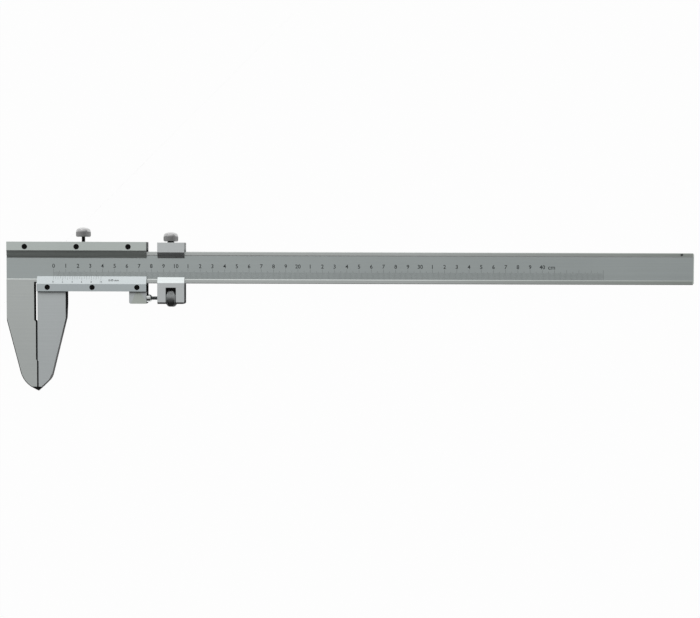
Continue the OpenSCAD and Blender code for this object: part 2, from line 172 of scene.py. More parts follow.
def shade_by_angle(mesh, degrees):
    """Smooth shading that stops at edges sharper than the given angle."""
    mesh.polygons.foreach_set("use_smooth", [True] * len(mesh.polygons))
    mesh.set_sharp_from_angle(angle=math.radians(degrees))


def as_piece(name, mesh):
    """An object for a mesh, in the scene."""
    piece = bpy.data.objects.new(name, mesh)
    scene.collection.objects.link(piece)
    return piece


JAW_LOWER = -60 * MM
JAW_MEETING = -75 * MM
MEETING_EDGE = (0.2 * MM, 0.4 * MM)
MEETING_WIDENED = 1.8
SAME_PLACE = 0.001 * MM


def eased_copy(node, name, width, face_steel, flank_steel, outline_width=0):
    """A CAD node with its sharp edges broken, its sides and lower faces in a darker steel that is
    painted shade.

    Below JAW_LOWER only a jaw's lower front outline is eased, by outline_width, and the
    bevels along the edge where the jaws meet are widened. Both take the darker steel, as
    painted shade along these edges."""
    source = frame["nodes"][node]
    front_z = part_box(node)[1].z
    work = bmesh.new()
    work.from_mesh(source.data)
    bmesh.ops.remove_doubles(work, verts=work.verts, dist=SAME_PLACE)
    bmesh.ops.dissolve_limit(work, angle_limit=math.radians(0.3),
                             verts=work.verts, edges=work.edges)
    weight = work.edges.layers.float.new("bevel_weight_edge")
    sharp = [edge for edge in work.edges
             if len(edge.link_faces) == 2 and edge.calc_face_angle() > math.radians(50)]
    front = [edge for edge in sharp if max(face.normal.z for face in edge.link_faces) > 0.95]
    outline = [edge for edge in front if min(v.co.y for v in edge.verts) < JAW_LOWER
               and min(face.normal.y for face in edge.link_faces) < -0.2]
    for edge in sharp:
        edge[weight] = 0 if min(v.co.y for v in edge.verts) < JAW_LOWER else 1
    bmesh.ops.bevel(work, geom=outline, offset=outline_width, offset_type="OFFSET",
                    segments=1, profile=0.5, affect="EDGES", clamp_overlap=False)
    for corner in work.verts:
        meeting = MEETING_EDGE[0] < abs(corner.co.x) < MEETING_EDGE[1] and corner.co.y < JAW_MEETING
        if outline and meeting and corner.co.z > front_z - 0.01 * MM:
            corner.co.x *= MEETING_WIDENED
    bmesh.ops.remove_doubles(work, verts=work.verts, dist=SAME_PLACE)
    mesh = bpy.data.meshes.new(name)
    work.to_mesh(mesh)
    work.free()
    if "custom_normal" in mesh.attributes:
        mesh.attributes.remove(mesh.attributes["custom_normal"])
    mesh.materials.clear()
    mesh.materials.append(face_steel)
    mesh.materials.append(flank_steel)
    piece = as_piece(name, mesh)
    edges = piece.modifiers.new("Broken edges", "BEVEL")
    edges.width = width
    edges.segments = 1
    edges.limit_method = "WEIGHT"
    settled(piece)
    # Sides, lower faces and the jaw's eased outline take the darker steel: painted shade.
    for face in piece.data.polygons:
        sideways = abs(face.normal.x) > 0.8
        downwards = face.normal.y < -0.2 and face.normal.z < 0.8
        shaded_outline = face.center.y < JAW_LOWER and 0.05 < face.normal.z < 0.95
        turned_left = face.normal.x < 0.3 or abs(face.center.x) < 1 * MM
        face.material_index = 1 if sideways or downwards or shaded_outline and turned_left else 0
    shade_by_angle(piece.data, 8)
    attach(piece, source["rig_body"])
    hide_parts(node)
    return piece


TIP_SHARE = 0.4
ROOT_SHARES = (0.68, 0.862)
UPPER_SHARE = 0.87


def dull_steel(name, upper, root, tip):
    """Side faces left dull, with painted shade in three tones from the upper edge to the jaw's tip.

    The shares say where each tone lies between the jaw's tip and the beam's middle."""
    material, tree, surface = own_nodes(name)
    place = own_place(tree)
    tones = tree.nodes.new("ShaderNodeValToRGB")
    stops = tones.color_ramp.elements
    stops[0].position = TIP_SHARE
    stops[0].color = (*tip, 1)
    stops[1].position = UPPER_SHARE
    stops[1].color = (*upper, 1)
    for position in ROOT_SHARES:
        stops.new(position).color = (*root, 1)
    height = graded(tree, along_axis(tree, place, "Y"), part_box("beam")[0].y, 0)
    tree.links.new(height, tones.inputs["Fac"])
    marks = graded(tree, mottle(tree, place, 600, 3), 0, 1, 0.8, 1.2)
    tree.links.new(toned(tree, tones.outputs["Color"], marks), surface.inputs["Base Color"])
    surface.inputs["Roughness"].default_value = 0.7
    surface.inputs["Specular IOR Level"].default_value = 0
    return material


def toned_along(material, axis, start, end, first, last):
    """Tints a steel from one tone to another along an axis, between two places."""
    tree = material.node_tree
    add, link = tree.nodes.new, tree.links.new
    surface = tree.nodes["Principled BSDF"]
    colour = surface.inputs["Base Color"].links[0].from_socket
    tone = add("ShaderNodeMix")
    tone.data_type = "RGBA"
    tone.inputs[6].default_value = (*first, 1)
    tone.inputs[7].default_value = (*last, 1)
    way = along_axis(tree, own_place(tree), axis)
    link(graded(tree, way, start, end), tone.inputs["Factor"])
    tinted = add("ShaderNodeVectorMath")
    tinted.operation = "MULTIPLY"
    link(colour, tinted.inputs[0])
    link(tone.outputs[2], tinted.inputs[1])
    link(tinted.outputs["Vector"], surface.inputs["Base Color"])
    return material


SIDE_GREY = (0.4, 0.41, 0.41)
RECESS_GREY = (0.58, 0.6, 0.59)
BROKEN_EDGE = 0.2 * MM
FREE_END_DARKENS = (300 * MM, 520 * MM)
beam_face = toned_along(ground_steel("beam_satin", (0.655, 0.69, 0.675), 0.34), "X",
                        *FREE_END_DARKENS, (1.0, 1.0, 1.0), (0.68, 0.7, 0.67))
recess_satin = ground_steel("recess_satin", (0.54, 0.59, 0.585), 0.34)
# Painted shade: the beam's sides are grey near its upper edge and near black down the jaw.
beam_flank = dull_steel("beam_flank", SIDE_GREY, (0.01, 0.01, 0.01), (0.03, 0.03, 0.03))
recess_wall = dull_steel("recess_wall", RECESS_GREY, RECESS_GREY, RECESS_GREY)
beam = eased_copy("beam", "beam_ground", BROKEN_EDGE, beam_face, beam_flank,
                  outline_width=0.75 * MM)
RECESS_DEPTH = 0.4 * MM
JAW_RELIEF = -40 * MM
scale_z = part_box("beam")[1].z - RECESS_DEPTH
beam.data.materials.append(recess_satin)
beam.data.materials.append(recess_wall)
# Painted shade: the step at the jaws' relief takes the near-black flank steel, and the recess's
# upper wall an even, unreflecting grey in place of its shading.
for face in beam.data.polygons:
    in_recess = face.normal.z > 0.9 and abs(face.center.z - scale_z) < 0.1 * MM
    upper_wall = face.normal.y < -0.2 and face.normal.z > 0.6 and face.center.y > 0
    relief_step = abs(face.normal.z) < 0.1 and face.center.y < JAW_RELIEF
    if in_recess:
        face.material_index = 2
    if upper_wall:
        face.material_index = 3
    if relief_step:
        face.material_index = 1

# Scale on the beam
# Millimetre lines and centimetre numerals are engraved in the recess and
# filled with black. The measuring plane is 13.3 mm left of the zero line.

SCALE_ZERO = 13.3 * MM
LINE_DEPTH = 0.02 * MM


def speckled(tree, spots, start, end, colour, lift):
    """A colour that is lifted where a mottle is strong."""
    ramp = tree.nodes.new("ShaderNodeValToRGB")
    stops = ramp.color_ramp.elements
    stops[0].position = start
    stops[0].color = (*colour, 1)
    stops[1].position = end
    stops[1].color = (*(lift * c for c in colour), 1)
    tree.links.new(spots, ramp.inputs["Fac"])
    return ramp.outputs["Color"]


def engraving_fill(name, colour):
    """Matt black fill in engraved lines, a little uneven."""
    material, tree, surface = own_nodes(name)
    wear = mottle(tree, own_place(tree), 900, 2)
    fill = speckled(tree, wear, 0.35, 0.75, colour, 2.2)
    tree.links.new(fill, surface.inputs["Base Color"])
    surface.inputs["Roughness"].default_value = 0.6
    surface.inputs["Specular IOR Level"].default_value = 0.2
    return material


def piece_tree(name, counts, sizes, finish):
    """An empty tree of geometry nodes, with named counts, sizes and a finish as inputs."""
    tree = bpy.data.node_groups.new(name, "GeometryNodeTree")
    sockets = tree.interface
    sockets.new_socket("Geometry", in_out="INPUT", socket_type="NodeSocketGeometry")
    for label in counts:
        sockets.new_socket(label, in_out="INPUT", socket_type="NodeSocketInt")
    for label in sizes:
        sockets.new_socket(label, in_out="INPUT", socket_type="NodeSocketFloat")
    sockets.new_socket(finish, in_out="INPUT", socket_type="NodeSocketMaterial")
    sockets.new_socket("Geometry", in_out="OUTPUT", socket_type="NodeSocketGeometry")
    return tree, tree.nodes.new, tree.links.new, tree.nodes.new("NodeGroupInput")


def end_tree(tree, shape, finish):
    """Makes the shape's copies real, gives them their finish and ends the tree."""
    add, link = tree.nodes.new, tree.links.new
    real = add("GeometryNodeRealizeInstances")
    link(shape, real.inputs["Geometry"])
    finished = add("GeometryNodeSetMaterial")
    link(real.outputs["Geometry"], finished.inputs["Geometry"])
    link(finish, finished.inputs["Material"])
    link(finished.outputs["Geometry"], add("NodeGroupOutput").inputs["Geometry"])
    return tree


def graduation_tree():
    """Geometry nodes for a row of lines along X, with longer lines at two steps."""
    tree, add, link, given = piece_tree(
        "Graduation", ("Count", "Middle Every", "Long Every"),
        ("Pitch", "Width", "Depth", "Short", "Middle", "Long", "Direction"), "Fill")
    step = add("ShaderNodeCombineXYZ")
    link(given.outputs["Pitch"], step.inputs["X"])
    row = add("GeometryNodeMeshLine")
    link(given.outputs["Count"], row.inputs["Count"])
    link(step.outputs["Vector"], row.inputs["Offset"])

    number = add("GeometryNodeInputIndex")

    def falls_on(step_output):
        rest = add("ShaderNodeMath")
        rest.operation = "MODULO"
        link(number.outputs["Index"], rest.inputs[0])
        link(step_output, rest.inputs[1])
        test = add("ShaderNodeMath")
        test.operation = "LESS_THAN"
        link(rest.outputs["Value"], test.inputs[0])
        test.inputs[1].default_value = 0.5
        return test.outputs["Value"]

    def choose(test_output, otherwise, chosen):
        pick = add("ShaderNodeMix")
        pick.data_type = "FLOAT"
        link(test_output, pick.inputs["Factor"])
        link(otherwise, pick.inputs[2])
        link(chosen, pick.inputs[3])
        return pick.outputs[0]

    length = choose(falls_on(given.outputs["Middle Every"]),
                    given.outputs["Short"], given.outputs["Middle"])
    length = choose(falls_on(given.outputs["Long Every"]), length, given.outputs["Long"])

    half = add("ShaderNodeMath")
    half.operation = "MULTIPLY"
    link(length, half.inputs[0])
    half.inputs[1].default_value = 0.5
    signed = add("ShaderNodeMath")
    signed.operation = "MULTIPLY"
    link(half.outputs["Value"], signed.inputs[0])
    link(given.outputs["Direction"], signed.inputs[1])
    middle = add("ShaderNodeCombineXYZ")
    link(signed.outputs["Value"], middle.inputs["Y"])
    shift = add("GeometryNodeSetPosition")
    link(row.outputs["Mesh"], shift.inputs["Geometry"])
    link(middle.outputs["Vector"], shift.inputs["Offset"])

    size = add("ShaderNodeCombineXYZ")
    link(given.outputs["Width"], size.inputs["X"])
    link(length, size.inputs["Y"])
    link(given.outputs["Depth"], size.inputs["Z"])
    line = add("GeometryNodeMeshCube")
    copies = add("GeometryNodeInstanceOnPoints")
    link(shift.outputs["Geometry"], copies.inputs["Points"])
    link(line.outputs["Mesh"], copies.inputs["Instance"])
    link(size.outputs["Vector"], copies.inputs["Scale"])
    return end_tree(tree, copies.outputs["Instances"], given.outputs["Fill"])


def made_by(tree, name, host=None, **values):
    """A plain mesh piece from a node tree, whose inputs are given by name."""
    piece = as_piece(name, host or bpy.data.meshes.new(name))
    nodes = piece.modifiers.new("Nodes", "NODES")
    nodes.node_group = tree
    for item in tree.interface.items_tree:
        label = item.name.replace(" ", "_").lower()
        if item.in_out == "INPUT" and label in values:
            nodes[item.identifier] = values[label]
    settled(piece)
    while None in list(piece.data.materials):
        piece.data.materials.pop(index=list(piece.data.materials).index(None))
    return piece


def placed(piece, matrix):
    """Moves the piece's mesh to its place, with the object left at the origin."""
    piece.data.transform(matrix)
    piece.data.update()
    return piece


def joined(name, pieces):
    """One mesh piece out of several, with their materials kept."""
    mesh = bpy.data.meshes.new(name)
    work = bmesh.new()
    for piece in pieces:
        for material in piece.data.materials:
            if material.name not in mesh.materials:
                mesh.materials.append(material)
        slots = [mesh.materials.find(m.name) for m in piece.data.materials]
        first = len(work.faces)
        work.from_mesh(piece.data)
        work.faces.ensure_lookup_table()
        for face in work.faces[first:]:
            face.material_index = slots[face.material_index] if slots else 0
        bpy.data.objects.remove(piece)
    work.to_mesh(mesh)
    work.free()
    return as_piece(name, mesh)


def words(name, text, height, fill, weight=0.0):
    """Flat lettering of the given height, centred on the origin, as a mesh."""
    letters = bpy.data.curves.new(name, "FONT")
    letters.body = text
    letters.size = 1
    letters.align_x = "CENTER"
    letters.align_y = "CENTER"
    letters.extrude = 0.5
    letters.offset = weight
    letters.resolution_u = 3
    piece = as_piece(name, letters)
    graph = bpy.context.evaluated_depsgraph_get()
    mesh = bpy.data.meshes.new_from_object(piece.evaluated_get(graph), depsgraph=graph)
    bpy.data.objects.remove(piece)
    low = min(v.co.y for v in mesh.vertices)
    high = max(v.co.y for v in mesh.vertices)
    size = height / (high - low)
    mesh.transform(Matrix.Diagonal((size, size, LINE_DEPTH, 1))
                   @ Matrix.Translation((0, -(low + high) / 2, 0)))
    mesh.materials.clear()
    mesh.materials.append(fill)
    return as_piece(name, mesh)


graduation = graduation_tree()
scale_fill = engraving_fill("scale_fill", (0.028, 0.032, 0.032))
SCALE_FOOT = -9.3 * MM
lines = made_by(graduation, "scale_lines", count=451, middle_every=5, long_every=10,
                pitch=1 * MM, width=0.13 * MM, depth=LINE_DEPTH,
                short=5.6 * MM, middle=6.7 * MM, long=8.1 * MM, direction=1.0,
                fill=scale_fill)
placed(lines, Matrix.Translation((SCALE_ZERO, SCALE_FOOT, scale_z)))
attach(lines, "beam")

CENTIMETRES = 40
NUMERAL_HEIGHT = 3.3 * MM
NUMERAL_Y = 1.2 * MM
UNIT_HEIGHT = 2.4 * MM
UNIT_X = 407.6 * MM
UNIT_DROP = 0.7 * MM
numerals = []
for centimetre in range(CENTIMETRES + 1):
    figure = centimetre if centimetre % 10 == 0 else centimetre % 10
    numeral = words("numeral", str(figure), NUMERAL_HEIGHT, scale_fill, weight=0.012)
    placed(numeral, Matrix.Translation((SCALE_ZERO + centimetre * 10 * MM, NUMERAL_Y, scale_z)))
    numerals.append(numeral)
unit = words("unit", "cm", UNIT_HEIGHT, scale_fill, weight=0.008)
placed(unit, Matrix.Translation((SCALE_ZERO + UNIT_X, NUMERAL_Y - UNIT_DROP, scale_z)))
scale_numerals = joined("scale_numerals", numerals + [unit])
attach(scale_numerals, "beam")

# Stop pin
# A small steel pin, pressed through the upper rail near the beam's free end,
# that keeps the feed block on the beam. It is blackened.


def black_oxide(name, colour=(0.004, 0.004, 0.0042), roughness=0.45):
    """Blackened steel with a thin sheen of oil."""
    material, tree, surface = own_nodes(name)
    spots = mottle(tree, own_place(tree), 700, 4)
    black = speckled(tree, spots, 0.4, 0.8, colour, 2.5)
    tree.links.new(black, surface.inputs["Base Color"])
    dullness = graded(tree, spots, 0, 1, roughness - 0.08, roughness + 0.12)
    tree.links.new(dullness, surface.inputs["Roughness"])
    surface.inputs["Specular IOR Level"].default_value = 0.1
    return material


def finish_node(node, material):
    """Gives a CAD node its finish."""
    mesh = frame["nodes"][node].data
    mesh.materials.clear()
    mesh.materials.append(material)


blackened = black_oxide("blackened_steel")
finish_node("end_stop_pin", black_oxide("pin_steel", colour=(0.06, 0.06, 0.06)))

# Sliding frame
# A channel of stainless steel that runs along the beam, in one piece with the
# moving jaw and the lug of the fine feed, ground on its faces.


def darkened_corners(material, reach):
    """Darkens a ground steel along inner corners as painted shade, strongest at the foot of a wall.
    """
    tree = material.node_tree
    surface = tree.nodes["Principled BSDF"]
    colour = surface.inputs["Base Color"].links[0].from_socket
    corner = tree.nodes.new("ShaderNodeAmbientOcclusion")
    corner.samples = 16
    corner.inputs["Distance"].default_value = reach
    depth = graded(tree, corner.outputs["AO"], 0.6, 0.95, 0.08, 1)
    tree.links.new(toned(tree, colour, depth), surface.inputs["Base Color"])


frame_face = ground_steel("frame_satin", (0.66, 0.7, 0.705), 0.34)
lug_face = ground_steel("lug_satin", (0.607, 0.651, 0.606), 0.34)
CORNER_REACH = 7 * MM
# Painted shade under the cover strips and in the inner corners of the frame and the lug.
for steel in (frame_face, lug_face):
    darkened_corners(steel, CORNER_REACH)
# Painted shade: the frame's and strips' side faces are grey along the top, near black by the jaw's
# root and lighter towards its tip.
frame_flank = dull_steel("frame_flank", SIDE_GREY, (0.05, 0.05, 0.05), (0.38, 0.38, 0.38))
slider_body = eased_copy("frame_body", "frame_ground", BROKEN_EDGE, frame_face, frame_flank,
                         outline_width=0.45 * MM)
slider_body.data.materials.append(lug_face)
slider_body.data.materials.append(beam_flank)
LUG_LEFT = 70 * MM
LUG_TOP = -20 * MM
TIP_GRIND = -98.5 * MM
# Painted shade: where the jaws meet and on the ground tip, the faces take the beam's near-black
# flank steel.
for face in slider_body.data.polygons:
    on_lug = face.center.x > LUG_LEFT and face.center.y < LUG_TOP
    meeting = abs(face.center.x) < 1 * MM and face.center.y < JAW_LOWER
    tip = face.center.y < TIP_GRIND and face.normal.z > 0.3
    if on_lug and face.normal.z > 0.5:
        face.material_index = 2
    if meeting or tip:
        face.material_index = 3

# Leaf springs
# Bowed strips of spring steel between the beam and the channels above it. The
# clamp screws press on them.

# Painted shade: the springs' steel is near black, as their ends lie in shade inside the channels.
spring_blued = ground_steel("spring_blued", (0.03, 0.032, 0.04), 0.35, grain=(40, 900, 900))
for node in ("frame_spring", "block_spring"):
    finish_node(node, spring_blued)

# Cover strips
# Two ground strips are screwed on the frame's front. The upper one slopes down
# to the scale, and the lower one carries the vernier on its bright bevel.

STRIP_CHAMFER = 0.12 * MM
strip_face = ground_steel("strip_satin", (0.695, 0.755, 0.725), 0.32)
top_strip = eased_copy("top_strip", "top_strip_ground", STRIP_CHAMFER, strip_face, frame_flank)

vernier_satin = ground_steel("vernier_satin", (0.62, 0.68, 0.695), 0.34)
# Painted light: the bevel, which faces the light, takes a lighter copy of the strip's steel.
vernier_bright = ground_steel("vernier_bright", (0.76, 0.82, 0.835), 0.3, contrast=0.02)
vernier_strip = eased_copy("vernier_strip", "vernier_strip_ground", STRIP_CHAMFER,
                           vernier_satin, frame_flank)
vernier_strip.data.materials.append(vernier_bright)
for face in vernier_strip.data.polygons:
    if 0.2 < face.normal.y < 0.5 and face.normal.z > 0.8:
        face.material_index = 2

# Vernier scale
# Twenty divisions over 39 mm are engraved on the bevel of the lower strip,
# numbered 0 to 10, with the reading in millimetres at the right.

VERNIER_PITCH = 1.95 * MM
VERNIER_BEVEL = 6.3 * MM
STRIP_EDGE = 0.3 * MM
LINES_Y = -0.15 * MM
FIGURE_HEIGHT = 1.45 * MM
FIGURE_Y = -4.9 * MM
READING_HEIGHT = 1.8 * MM
READING_X = 49.5 * MM
READING_Y = -3.4 * MM
strip_low, strip_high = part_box("vernier_strip")
bevel_drop = strip_high.z - strip_low.z - STRIP_EDGE
bevel_angle = math.atan2(bevel_drop, VERNIER_BEVEL)
bevel_top = Vector((0, strip_high.y, strip_low.z + STRIP_EDGE))
on_bevel = Matrix.Translation(bevel_top) @ Matrix.Rotation(-bevel_angle, 4, "X")
vernier_fill = engraving_fill("vernier_fill", (0.06, 0.066, 0.066))
marks = [made_by(graduation, "vernier_lines", count=21, middle_every=2, long_every=4,
                 pitch=VERNIER_PITCH, width=0.14 * MM, depth=LINE_DEPTH,
                 short=2.2 * MM, middle=2.8 * MM, long=3.4 * MM, direction=-1.0,
                 fill=vernier_fill)]
placed(marks[0], Matrix.Translation((SCALE_ZERO, LINES_Y, 0)))
for step in range(6):
    figure = words("vernier_figure", str(2 * step), FIGURE_HEIGHT, vernier_fill, weight=0.01)
    placed(figure, Matrix.Translation((SCALE_ZERO + step * 4 * VERNIER_PITCH, FIGURE_Y, 0)))
    marks.append(figure)
reading = words("vernier_reading", "0.05 mm", READING_HEIGHT, vernier_fill, weight=0.02)
placed(reading, Matrix.Translation((SCALE_ZERO + READING_X, READING_Y, 0)))
marks.append(reading)
vernier_marks = joined("vernier_marks", marks)
placed(vernier_marks, on_bevel)
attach(vernier_marks, "slider")

# Strip screws
# Six small blackened screws with slotted heads hold the strips, each sunk
# flush in its counterbore and turned as it was left when tightened.


def turned_mesh(name, profile, material, segments=48):
    """A closed mesh turned about Z from (radius, height) points, lowest first."""
    work = bmesh.new()
    rings = []
    for radius, height in profile:
        if radius < 1e-9:
            rings.append([work.verts.new((0, 0, height))])
        else:
            rings.append([work.verts.new((radius * math.cos(2 * math.pi * i / segments),
                                          radius * math.sin(2 * math.pi * i / segments),
                                          height)) for i in range(segments)])
    for below, above in zip(rings, rings[1:]):
        for i in range(segments):
            j = (i + 1) % segments
            corners = [below[i % len(below)], below[j % len(below)],
                       above[j % len(above)], above[i % len(above)]]
            work.faces.new(list(dict.fromkeys(corners)))
    bmesh.ops.remove_doubles(work, verts=work.verts, dist=SAME_PLACE)
    bmesh.ops.recalc_face_normals(work, faces=work.faces)
    mesh = bpy.data.meshes.new(name)
    work.to_mesh(mesh)
    work.free()
    mesh.materials.append(material)
    shade_by_angle(mesh, 25)
    return mesh


def screw_row_tree():
    """Geometry nodes that cut the slot in a screw and set a row of them."""
    tree, add, link, given = piece_tree(
        "Screw row", ("Count", "Seed"),
        ("Spacing", "Slot Width", "Slot Depth", "Slot Length"), "Finish")
    twice = add("ShaderNodeMath")
    twice.operation = "MULTIPLY"
    twice.inputs[1].default_value = 2
    link(given.outputs["Slot Depth"], twice.inputs[0])
    slot_size = add("ShaderNodeCombineXYZ")
    link(given.outputs["Slot Length"], slot_size.inputs["X"])
    link(given.outputs["Slot Width"], slot_size.inputs["Y"])
    link(twice.outputs["Value"], slot_size.inputs["Z"])
    cutter = add("GeometryNodeMeshCube")
    link(slot_size.outputs["Vector"], cutter.inputs["Size"])
    cut = add("GeometryNodeMeshBoolean")
    cut.operation = "DIFFERENCE"
    cut.solver = "MANIFOLD"
    link(given.outputs["Geometry"], cut.inputs["Mesh 1"])
    link(cutter.outputs["Mesh"], cut.inputs["Mesh 2"])

    step = add("ShaderNodeCombineXYZ")
    link(given.outputs["Spacing"], step.inputs["X"])
    row = add("GeometryNodeMeshLine")
    link(given.outputs["Count"], row.inputs["Count"])
    link(step.outputs["Vector"], row.inputs["Offset"])
    turn = add("FunctionNodeRandomValue")
    turn.data_type = "FLOAT"
    turn.inputs[2].default_value = 0
    turn.inputs[3].default_value = math.pi
    link(given.outputs["Seed"], turn.inputs["Seed"])
    spin = add("ShaderNodeCombineXYZ")
    link(turn.outputs[1], spin.inputs["Z"])
    copies = add("GeometryNodeInstanceOnPoints")
    link(row.outputs["Mesh"], copies.inputs["Points"])
    link(cut.outputs["Mesh"], copies.inputs["Instance"])
    link(spin.outputs["Vector"], copies.inputs["Rotation"])
    return end_tree(tree, copies.outputs["Instances"], given.outputs["Finish"])


screw_row = screw_row_tree()
HEAD_RADIUS = 2.15 * MM
HEAD_HEIGHT = 1.5 * MM
HEAD_CHAMFER = 0.2 * MM
SHANK_RADIUS = 1.25 * MM
for row, seed in (("top_strip_screw", 3), ("vernier_screw", 8)):
    names = [f"{row}_{i}" for i in (1, 2, 3)]
    low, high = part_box(names[0])
    screw = turned_mesh(row, [
        (0, low.z - high.z), (SHANK_RADIUS, low.z - high.z), (SHANK_RADIUS, -HEAD_HEIGHT),
        (HEAD_RADIUS, -HEAD_HEIGHT), (HEAD_RADIUS, -HEAD_CHAMFER),
        (HEAD_RADIUS - HEAD_CHAMFER, 0), (0, 0)], blackened)
    screws = made_by(screw_row, f"{row}s_slotted", host=screw, count=3, seed=seed,
                     spacing=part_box(names[1])[0].x - low.x, slot_width=0.6 * MM,
                     slot_depth=0.55 * MM, slot_length=5 * MM, finish=blackened)
    shade_by_angle(screws.data, 25)
    placed(screws, Matrix.Translation(((low.x + high.x) / 2, (low.y + high.y) / 2, high.z)))
    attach(screws, "slider")
    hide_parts(*names)

# Feed screw
# A blackened spindle with a 3 mm thread is fixed in the frame's lug. A domed
# collar of bright steel bears on the lug round it.

THREAD_RADIUS = 1.5 * MM
THREAD_PITCH = 0.5 * MM


def thread_tree():
    """Geometry nodes for a threaded rod that stands on the origin along Z."""
    tree, add, link, given = piece_tree("Thread", (), ("Radius", "Pitch", "Length"), "Finish")

    def calculate(operation, first, second):
        step = add("ShaderNodeMath")
        step.operation = operation
        for socket, value in zip(step.inputs, (first, second)):
            if isinstance(value, float):
                socket.default_value = value
            else:
                link(value, socket)
        return step.outputs["Value"]

    ridge_radius = calculate("MULTIPLY", given.outputs["Pitch"], 0.5)
    root_radius = calculate("SUBTRACT", given.outputs["Radius"], ridge_radius)
    threaded = calculate("SUBTRACT", given.outputs["Length"], given.outputs["Pitch"])
    turns = calculate("DIVIDE", threaded, given.outputs["Pitch"])

    helix = add("GeometryNodeCurveSpiral")
    helix.inputs["Resolution"].default_value = 20
    link(turns, helix.inputs["Rotations"])
    link(root_radius, helix.inputs["Start Radius"])
    link(root_radius, helix.inputs["End Radius"])
    link(threaded, helix.inputs["Height"])
    profile = add("GeometryNodeCurvePrimitiveCircle")
    profile.inputs["Resolution"].default_value = 4
    link(ridge_radius, profile.inputs["Radius"])
    ridge = add("GeometryNodeCurveToMesh")
    ridge.inputs["Fill Caps"].default_value = True
    link(helix.outputs["Curve"], ridge.inputs["Curve"])
    link(profile.outputs["Curve"], ridge.inputs["Profile Curve"])
    lift = add("GeometryNodeTransform")
    start = add("ShaderNodeCombineXYZ")
    link(ridge_radius, start.inputs["Z"])
    link(ridge.outputs["Mesh"], lift.inputs["Geometry"])
    link(start.outputs["Vector"], lift.inputs["Translation"])

    core = add("GeometryNodeMeshCylinder")
    core.inputs["Vertices"].default_value = 24
    link(calculate("MULTIPLY", root_radius, 1.02), core.inputs["Radius"])
    link(given.outputs["Length"], core.inputs["Depth"])
    stand = add("GeometryNodeTransform")
    middle = add("ShaderNodeCombineXYZ")
    link(calculate("MULTIPLY", given.outputs["Length"], 0.5), middle.inputs["Z"])
    link(core.outputs["Mesh"], stand.inputs["Geometry"])
    link(middle.outputs["Vector"], stand.inputs["Translation"])

    both = add("GeometryNodeJoinGeometry")
    link(lift.outputs["Geometry"], both.inputs["Geometry"])
    link(stand.outputs["Geometry"], both.inputs["Geometry"])
    return end_tree(tree, both.outputs["Geometry"], given.outputs["Finish"])


def threaded_rod(node, name, axis, finish):
    """A threaded rod in the place of a CAD node that lies along axis."""
    low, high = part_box(node)
    length = max(high - low)
    rod = made_by(thread, name, radius=THREAD_RADIUS, pitch=THREAD_PITCH, length=length,
                  finish=finish)
    foot = (low + high) / 2 - Vector(axis) * length / 2
    turn = Vector((0, 0, 1)).rotation_difference(Vector(axis)).to_matrix().to_4x4()
    return placed(rod, Matrix.Translation(foot) @ turn)


def finish_rod(rod, node):
    """Shades a threaded rod and lets it stand for its CAD node."""
    shade_by_angle(rod.data, 30)
    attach(rod, frame["nodes"][node]["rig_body"])
    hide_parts(node)


thread = thread_tree()
thread_worn = ground_steel("thread_worn", (0.16, 0.17, 0.17), 0.35, grain=(300, 300, 300))
feed_rod = threaded_rod("feed_screw", "feed_screw_threaded", (1, 0, 0), thread_worn)
finish_rod(feed_rod, "feed_screw")

collar_polished = ground_steel("collar_polished", (0.72, 0.75, 0.74), 0.16,
                               grain=(300, 300, 300), contrast=0.02)
finish_node("feed_screw_collar", collar_polished)

# Feed block
# A block milled from one piece of steel that slides on the beam behind the
# frame. Its slot is open at the bottom and holds the nut of the fine feed.

block_face = ground_steel("block_satin", (0.76, 0.795, 0.8), 0.32)
# Painted light: the bevels that face the light take a lighter copy of the block's steel.
block_bright = ground_steel("block_bright", (0.82, 0.87, 0.87), 0.28, contrast=0.015)
# Painted shade: the block's lower faces are dark, and its large side walls go from light at the top
# to dark lower down.
block_flank = dull_steel("block_flank", SIDE_GREY, (0.13, 0.13, 0.13), (0.13, 0.13, 0.13))
block_side = dull_steel("block_side", (0.7, 0.72, 0.72), (0.2, 0.205, 0.205), (0.3, 0.3, 0.3))
block = eased_copy("feed_block", "feed_block_milled", 0.15 * MM, block_face, block_flank)
block.data.materials.append(block_bright)
block.data.materials.append(block_side)
for face in block.data.polygons:
    bevelled = 0.2 < face.normal.y < 0.55 and face.normal.z > 0.75
    side_wall = abs(face.normal.x) > 0.8 and face.area > 20 * MM * MM
    if bevelled:
        face.material_index = 2
    if side_wall:
        face.material_index = 3

# Feed nut
# A knurled steel nut with bevelled rims turns on the feed screw in the block's
# slot and moves the frame by half a millimetre a turn.

KNURL_DEPTH = 0.15 * MM
KNURLED_SIDES = 96
RIDGE_END = 0.1
RIDGE_RUNOUT = 0.13


